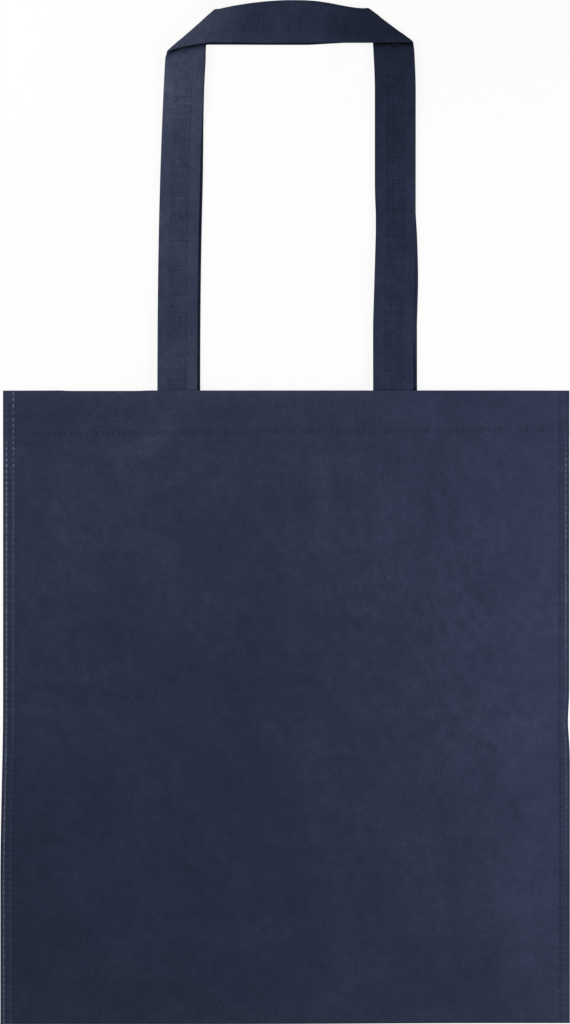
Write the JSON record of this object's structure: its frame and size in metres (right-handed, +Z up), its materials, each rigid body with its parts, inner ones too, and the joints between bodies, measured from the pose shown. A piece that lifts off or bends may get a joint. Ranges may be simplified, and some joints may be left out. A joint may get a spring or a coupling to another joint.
{
  "type": "nonwoven carrier bag",
  "caption": "Flat nonwoven carrier bag with hemmed mouth, welded side seams and long strap handles folded over at the top.",
  "frame": {"origin": "middle of the bag's footprint, handles included, on the surface that it lies on", "axes": "+X across the bag, +Y from the bottom fold towards the handles, +Z up through the front panel"},
  "size_m": [0.38, 0.6818, 0.0078],
  "materials": {
    "body_cloth": "navy spun-bond nonwoven polypropylene, embossed with fine bond dots, matt with a slight sheen",
    "handle_cloth": "navy spun-bond nonwoven polypropylene strip, folded and welded with fine cross bars along its middle"
  },
  "bodies": {
    "root": {"bag_body": "body_cloth", "front_handle": "handle_cloth", "rear_handle": "handle_cloth"}
  },
  "joints": []
}
